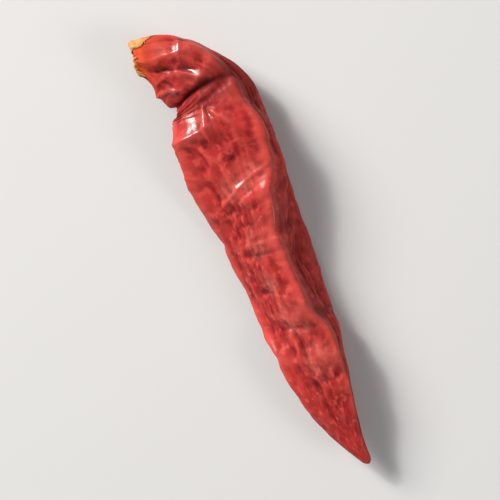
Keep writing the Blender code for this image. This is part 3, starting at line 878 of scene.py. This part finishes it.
def new_material(name):
    """A material, its node tree and its own shader."""
    made = bpy.data.materials.new(name)
    made.use_nodes = True
    return made, made.node_tree, made.node_tree.nodes["Principled BSDF"]


print("groups", SOFT_PATCHES.name, "and", LONG_FIBRES.name)

# %% [markdown]
# ## The dried skin
#
# Dried chilli skin is a deep, slightly brown red with a waxy gloss. Light passes a little way
# into it, so ridges and the torn end glow orange where it is thin, and the folds go maroon.
# The colour starts from two reds in cloudy patches. It is then mottled with maroon, and light
# and shade are painted on: a painted warm glow on the crests, painted maroon shade in the
# creases, the finest wrinkles and the pinch, and a pale painted sheen on patches of wax.
# Towards the mouth it turns orange, partly the torn end's own colour and partly a painted glow.
#
# The gloss is all in the coat, and the base under it is dull. It is strong only on small
# spots where the skin is stretched taut over a ridge, softer on waxy patches of the broad
# faces, and weak on the other crests, the more so towards the outer side of the bend.

# %% Dried skin
DEEP_RED = (0.230, 0.0140, 0.0140, 1.0)
FULL_RED = (0.430, 0.0300, 0.0270, 1.0)
MAROON = (0.060, 0.0045, 0.0055, 1.0)
WARM_RED = (0.52, 0.066, 0.048, 1.0)
# These two are partly the torn end's own colour and partly a painted glow of light through its thin
# skin.
TORN_RED_AND_GLOW = (0.34, 0.034, 0.013, 1.0)
TORN_ORANGE_AND_GLOW = (0.52, 0.070, 0.020, 1.0)
PALE_LINE = (0.47, 0.075, 0.045, 1.0)
# A pale pink painted sheen, laid on the patches of wax below.
PAINTED_SHEEN = (0.56, 0.120, 0.090, 1.0)
SHINY_SPOTS = (  # station, angle, reach
    (6.4, 69.0, 1.5),
    (9.2, 98.0, 2.4),
    (7.4, 152.0, 2.6),
    (18.2, 121.0, 1.9),
    (19.7, 150.0, 2.2),
    (18.3, 95.0, 1.3),
)
# Patches of wax: they get a glossier coat, and a pale painted sheen in their colour.
WAX_AND_SHEEN_PATCHES = (  # station, angle, reach
    (16.8, 145.0, 3.0),
    (28.3, 96.0, 3.6),
    (29.5, 135.0, 3.4),
    (39.0, 112.0, 4.2),
    (46.0, 120.0, 3.0),
    (53.0, 108.0, 4.6),
    (60.5, 95.0, 4.6),
)
PATCH_FINENESS, MOTTLE_FINENESS, SPECK_FINENESS, GRAIN_FINENESS = 0.11, 0.5, 0.8, 3.2
STREAK_FINENESS, STREAK_LENGTH = 1.6, 6.0
PINCH = 13.5  # the station where the deep fold pinches the pod

# Where each colour comes in: from, to, its share there, its share there
FULL_IN_PATCHES = (0.3, 0.7, 0.0, 1.0)
MAROON_MOTTLES = (0.38, 0.6, 0.45, 0.0)
FULL_SPECKS = (0.4, 0.7, 0.0, 0.5)
WARM_SPECKS = (0.55, 0.66, 0.0, 0.6)
# Painted shade: maroon in the valleys of the finest wrinkles.
PAINTED_SHADE_IN_WRINKLES = (0.0, 0.4, 0.28, 0.0)
# Red and orange towards the mouth: partly the torn end's own colour, partly a painted glow.
RED_NEAR_MOUTH = (1.0, 6.5, 0.6, 0.0)
ORANGE_AT_MOUTH = (0.0, 1.6, 0.75, 0.0)
# Painted shade: maroon round the pinch, where the deep fold's valley lies in shadow.
PAINTED_SHADE_IN_PINCH = (0.8, 3.8, 0.5, 0.0)
# The crest share paints a warm glow on the crests, the crease share paints shade in the creases,
# and the wax share paints a pale sheen.
STREAK_SHARE, PAINTED_GLOW_ON_CRESTS, PAINTED_SHADE_IN_CREASES, PAINTED_SHEEN_SHARE = 0.12, 0.5, 0.5, 0.3
WAX_AND_SHEEN_BROKEN_UP = (0.35, 0.6, 0.35, 1.0)

# Roughness along the pod, and what is added to it
ROUGH_ALONG = (9.0, 22.0, 0.42, 0.50)
ROUGH_NEAR_MOUTH = (0.5, 5.0, 0.25, 0.0)
ROUGH_SPECKS = (0.3, 0.7, -0.04, 0.05)
ROUGH_IN_PINCH = (1.5, 4.0, 0.15, 0.0)
ROUGH_CREST, ROUGH_CREASE = -0.08, 0.12

# Gloss on the crests, which fades towards the tube's outer side, and where it is cut
CREST_GLOSS = (0.5, 3.5, 0.38, 0.12)
CREST_FROM = (0.0, 0.6)
LEAST_GLOSS, WAX_GLOSS = 0.08, 0.75
GLOSS_PAST_MOUTH = (3.5, 6.0)
GLOSS_OUT_OF_PINCH = (1.0, 3.0, 0.1, 1.0)

GRAIN_HEIGHT, SPECK_HEIGHT, STREAK_HEIGHT = 0.7, 0.6, 0.8
SKIN_BUMP = {"Strength": 0.5, "Distance": 0.00012}
SKIN_CONSTANTS = {
    "IOR": 1.42,
    "Specular IOR Level": 0.08,
    "Coat Roughness": 0.21,
    "Subsurface Weight": 0.12,
    "Subsurface Radius": (1.0, 0.18, 0.10),
    "Subsurface Scale": 0.0012,
}

skin_finish, tree, shader = new_material("dried_chilli_skin")
set_inputs(shader, SKIN_CONSTANTS)
straight = attribute(tree, "straight", "Vector")
station_at, crest = attribute(tree, "station"), attribute(tree, "crest")
crease, fine = attribute(tree, "crease"), attribute(tree, "fine")
patch = use_group(tree, SOFT_PATCHES, straight, PATCH_FINENESS)["Cloud"]
mottle = use_group(tree, SOFT_PATCHES, straight, MOTTLE_FINENESS)["Cloud"]
speck = use_group(tree, SOFT_PATCHES, straight, SPECK_FINENESS)["Cloud"]
grain = use_group(tree, SOFT_PATCHES, straight, GRAIN_FINENESS)["Cloud"]
streak = use_group(tree, LONG_FIBRES, straight, STREAK_FINENESS, STREAK_LENGTH)
pinched = absolute(tree, math(tree, "SUBTRACT", station_at, PINCH))
shiny = near(tree, straight, SHINY_SPOTS)
# Patches of wax with a glossier coat, which also carry the pale painted sheen.
wax_and_sheen = near(tree, straight, WAX_AND_SHEEN_PATCHES)
wax_and_sheen = math(tree, "MULTIPLY", wax_and_sheen, between(tree, speck, *WAX_AND_SHEEN_BROKEN_UP))

colour = DEEP_RED
for share, tint in (
    (between(tree, patch, *FULL_IN_PATCHES), FULL_RED),
    (between(tree, mottle, *MAROON_MOTTLES), MAROON),
    (between(tree, speck, *FULL_SPECKS), FULL_RED),
    (between(tree, speck, *WARM_SPECKS), WARM_RED),
    (math(tree, "MULTIPLY", streak["Line"], STREAK_SHARE), PALE_LINE),
    # painted glow: the crests are warmed, standing in for light through thin, lit ridges
    (math(tree, "MULTIPLY", crest, PAINTED_GLOW_ON_CRESTS), WARM_RED),
    # painted shade: maroon laid into the creases
    (math(tree, "MULTIPLY", crease, PAINTED_SHADE_IN_CREASES), MAROON),
    # painted shade in the valleys of the finest wrinkles
    (between(tree, fine, *PAINTED_SHADE_IN_WRINKLES), MAROON),
    # partly the torn end's own colour, partly a painted glow through thin skin
    (between(tree, station_at, *RED_NEAR_MOUTH), TORN_RED_AND_GLOW),
    (between(tree, station_at, *ORANGE_AT_MOUTH), TORN_ORANGE_AND_GLOW),
    # painted sheen: a pale pink on the patches of wax
    (math(tree, "MULTIPLY", wax_and_sheen, PAINTED_SHEEN_SHARE), PAINTED_SHEEN),
    # painted shade round the pinch
    (between(tree, pinched, *PAINTED_SHADE_IN_PINCH), MAROON),
):
    colour = mix(tree, share, colour, tint)
tree.links.new(colour, shader.inputs["Base Color"])

rough = math(
    tree,
    "ADD",
    between(tree, station_at, *ROUGH_ALONG),
    between(tree, station_at, *ROUGH_NEAR_MOUTH),
    math(tree, "MULTIPLY", crest, ROUGH_CREST),
    between(tree, speck, *ROUGH_SPECKS),
    between(tree, pinched, *ROUGH_IN_PINCH),
    math(tree, "MULTIPLY", crease, ROUGH_CREASE),
)
tree.links.new(rough, shader.inputs["Roughness"])

outer_side = add_node(tree, "ShaderNodeSeparateXYZ", {0: straight}).outputs[1]
crest_gloss = between(tree, outer_side, *CREST_GLOSS)
gloss = math(tree, "MULTIPLY", between(tree, crest, *CREST_FROM), crest_gloss)
gloss = math(
    tree,
    "MULTIPLY",
    math(tree, "MAXIMUM", gloss, LEAST_GLOSS),
    between(tree, station_at, *GLOSS_PAST_MOUTH),
    between(tree, pinched, *GLOSS_OUT_OF_PINCH),
)
gloss = math(tree, "MAXIMUM", gloss, shiny, math(tree, "MULTIPLY", wax_and_sheen, WAX_GLOSS))
tree.links.new(gloss, shader.inputs["Coat Weight"])

height = math(
    tree,
    "ADD",
    math(tree, "MULTIPLY", grain, GRAIN_HEIGHT),
    math(tree, "MULTIPLY", speck, SPECK_HEIGHT),
    math(tree, "MULTIPLY", streak["Fibre"], STREAK_HEIGHT),
)
bump = add_node(tree, "ShaderNodeBump", {"Height": height, **SKIN_BUMP})
tree.links.new(bump.outputs[0], shader.inputs["Normal"])
pod_mesh.materials.append(skin_finish)
print(skin_finish.name, "has", len(tree.nodes), "nodes")

# %% [markdown]
# ## The dry calyx
#
# The remnant is dead plant fibre: straw yellow, brown where it tore, with a little green left
# in patches. Its fibres run out from the scar, so the pattern is squeezed along the reach.

# %% Dry calyx
STRAW = (0.44, 0.165, 0.036, 1.0)
PALE_STRAW = (0.56, 0.26, 0.075, 1.0)
FIBRE_BROWN = (0.36, 0.12, 0.022, 1.0)
OLD_GREEN = (0.40, 0.30, 0.06, 1.0)
GREEN_FINENESS, GREEN_SHARE = 0.5, 0.45
STRAW_FINENESS, STRAW_LENGTH, BROWN_LINE_SHARE = 3.2, 7.0, 0.6
BROWN_AT_EDGE = (0.82, 1.0, 0.0, 0.7)
STRAW_ROUGHNESS = (0.3, 0.7, 0.55, 0.75)
STRAW_BUMP = {"Strength": 0.8, "Distance": 0.0002}

calyx_finish, tree, shader = new_material("dry_calyx_fibre")
straight = attribute(tree, "straight", "Vector")
green = use_group(tree, SOFT_PATCHES, straight, GREEN_FINENESS)["Mask"]
fibre = use_group(tree, LONG_FIBRES, straight, STRAW_FINENESS, STRAW_LENGTH)
torn = between(tree, attribute(tree, "edge"), *BROWN_AT_EDGE)
colour = mix(tree, fibre["Fibre"], STRAW, PALE_STRAW)
colour = mix(tree, math(tree, "MULTIPLY", fibre["Line"], BROWN_LINE_SHARE), colour, FIBRE_BROWN)
colour = mix(tree, math(tree, "MULTIPLY", green, GREEN_SHARE), colour, OLD_GREEN)
colour = mix(tree, torn, colour, FIBRE_BROWN)
tree.links.new(colour, shader.inputs["Base Color"])
rough = between(tree, fibre["Fibre"], *STRAW_ROUGHNESS)
tree.links.new(rough, shader.inputs["Roughness"])
bump = add_node(tree, "ShaderNodeBump", {"Height": fibre["Fibre"], **STRAW_BUMP})
tree.links.new(bump.outputs[0], shader.inputs["Normal"])
calyx_mesh.materials.append(calyx_finish)
print(calyx_finish.name, "has", len(tree.nodes), "nodes")

# %% [markdown]
# ## The table, the light and the camera
#
# A plain pale table takes a soft shadow. One large lamp stands at the upper left of the
# picture, as the highlights say, a smaller one beside it draws their sharp edges, and a third
# opposite keeps the dark side readable. The first two are narrow beams, so they light the pod
# far more strongly than the third does at the same power, and the table stays even in lower
# views. The camera looks straight down through a long lens, turned so that the stem end is at
# the upper left and the tip at the lower right.

# %% Table
TABLE_SIDE = 4.0
TABLE_CONSTANTS = {
    "Base Color": (0.55, 0.545, 0.535, 1.0),
    "Roughness": 1.0,
    "Specular IOR Level": 0.0,
}

table_finish, tree, shader = new_material("pale_table")
set_inputs(shader, TABLE_CONSTANTS)
table_mesh = bpy.data.meshes.new("table")
half = TABLE_SIDE / 2.0
corners = [(-half, -half, 0.0), (half, -half, 0.0), (half, half, 0.0), (-half, half, 0.0)]
table_mesh.from_pydata(corners, [], [(0, 1, 2, 3)])
table_mesh.materials.append(table_finish)
table = bpy.data.objects.new("table", table_mesh)
bpy.context.scene.collection.objects.link(table)
print("table", TABLE_SIDE, "m a side")

# %% Camera
PHOTO_TURN = np.radians(61.3)  # gives the pod the slant that it has in the photo
LENS, SENSOR = 110.0, 36.0  # millimetres
FILL = 0.86  # share of the picture that the pod's longer side takes
NEAR_CLIP = 0.01

right = np.array([np.cos(PHOTO_TURN), np.sin(PHOTO_TURN), 0.0])
up = np.array([-np.sin(PHOTO_TURN), np.cos(PHOTO_TURN), 0.0])
every = np.concatenate([pod_at, calyx_at]) * MM
on_right, on_up = every @ right, every @ up
span = max(np.ptp(on_right), np.ptp(on_up))
aim = right * (on_right.min() + on_right.max()) / 2.0 + up * (on_up.min() + on_up.max()) / 2.0
half_height = every[:, 2].max() / 2.0
distance = span / FILL / 2.0 / (SENSOR / 2.0 / LENS)
camera_data = bpy.data.cameras.new("camera")
camera_data.lens, camera_data.sensor_width = LENS, SENSOR
camera_data.clip_start = NEAR_CLIP
camera = bpy.data.objects.new("camera", camera_data)
camera.location = (aim[0], aim[1], half_height + distance)
camera.rotation_euler = (0.0, 0.0, PHOTO_TURN)
bpy.context.scene.collection.objects.link(camera)
bpy.context.scene.camera = camera
print("camera", round(distance, 3), "m above, frame", round(span / FILL / MM, 1), "mm wide")
print("aimed at", (aim / MM).round(2))

# %% Lights
LAMPS = (  # name, right, up and height from the pod's middle, watts, side, colour, beam's angle
    ("key_lamp", (-0.81, 0.55, 0.60), 4.4, 0.50, (1.0, 0.98, 0.95), 80.0),
    ("edge_lamp", (-0.73, 0.58, 0.65), 0.85, 0.10, (1.0, 1.0, 1.0), 80.0),
    ("fill_lamp", (1.00, -0.30, 0.65), 4.3, 0.45, (1.0, 0.95, 0.92), 180.0),
)
SKY = {"Color": (0.93, 0.95, 1.0, 1.0), "Strength": 0.30}

for name, (rightward, upward, height), power, size, colour, spread in LAMPS:
    data = bpy.data.lights.new(name, "AREA")
    data.energy, data.size, data.color = power, size, colour
    data.spread = np.radians(spread)
    lamp = bpy.data.objects.new(name, data)
    lamp.location = Vector(right * rightward + up * upward) + Vector((0.0, 0.0, height))
    lamp.rotation_mode = "QUATERNION"
    lamp.rotation_quaternion = lamp.location.to_track_quat("Z", "Y")
    bpy.context.scene.collection.objects.link(lamp)

world = bpy.data.worlds.new("studio")
world.use_nodes = True
set_inputs(world.node_tree.nodes["Background"], SKY)
bpy.context.scene.world = world
bpy.context.scene.view_settings.view_transform = "Standard"
print(len(LAMPS), "lamps and a soft sky")
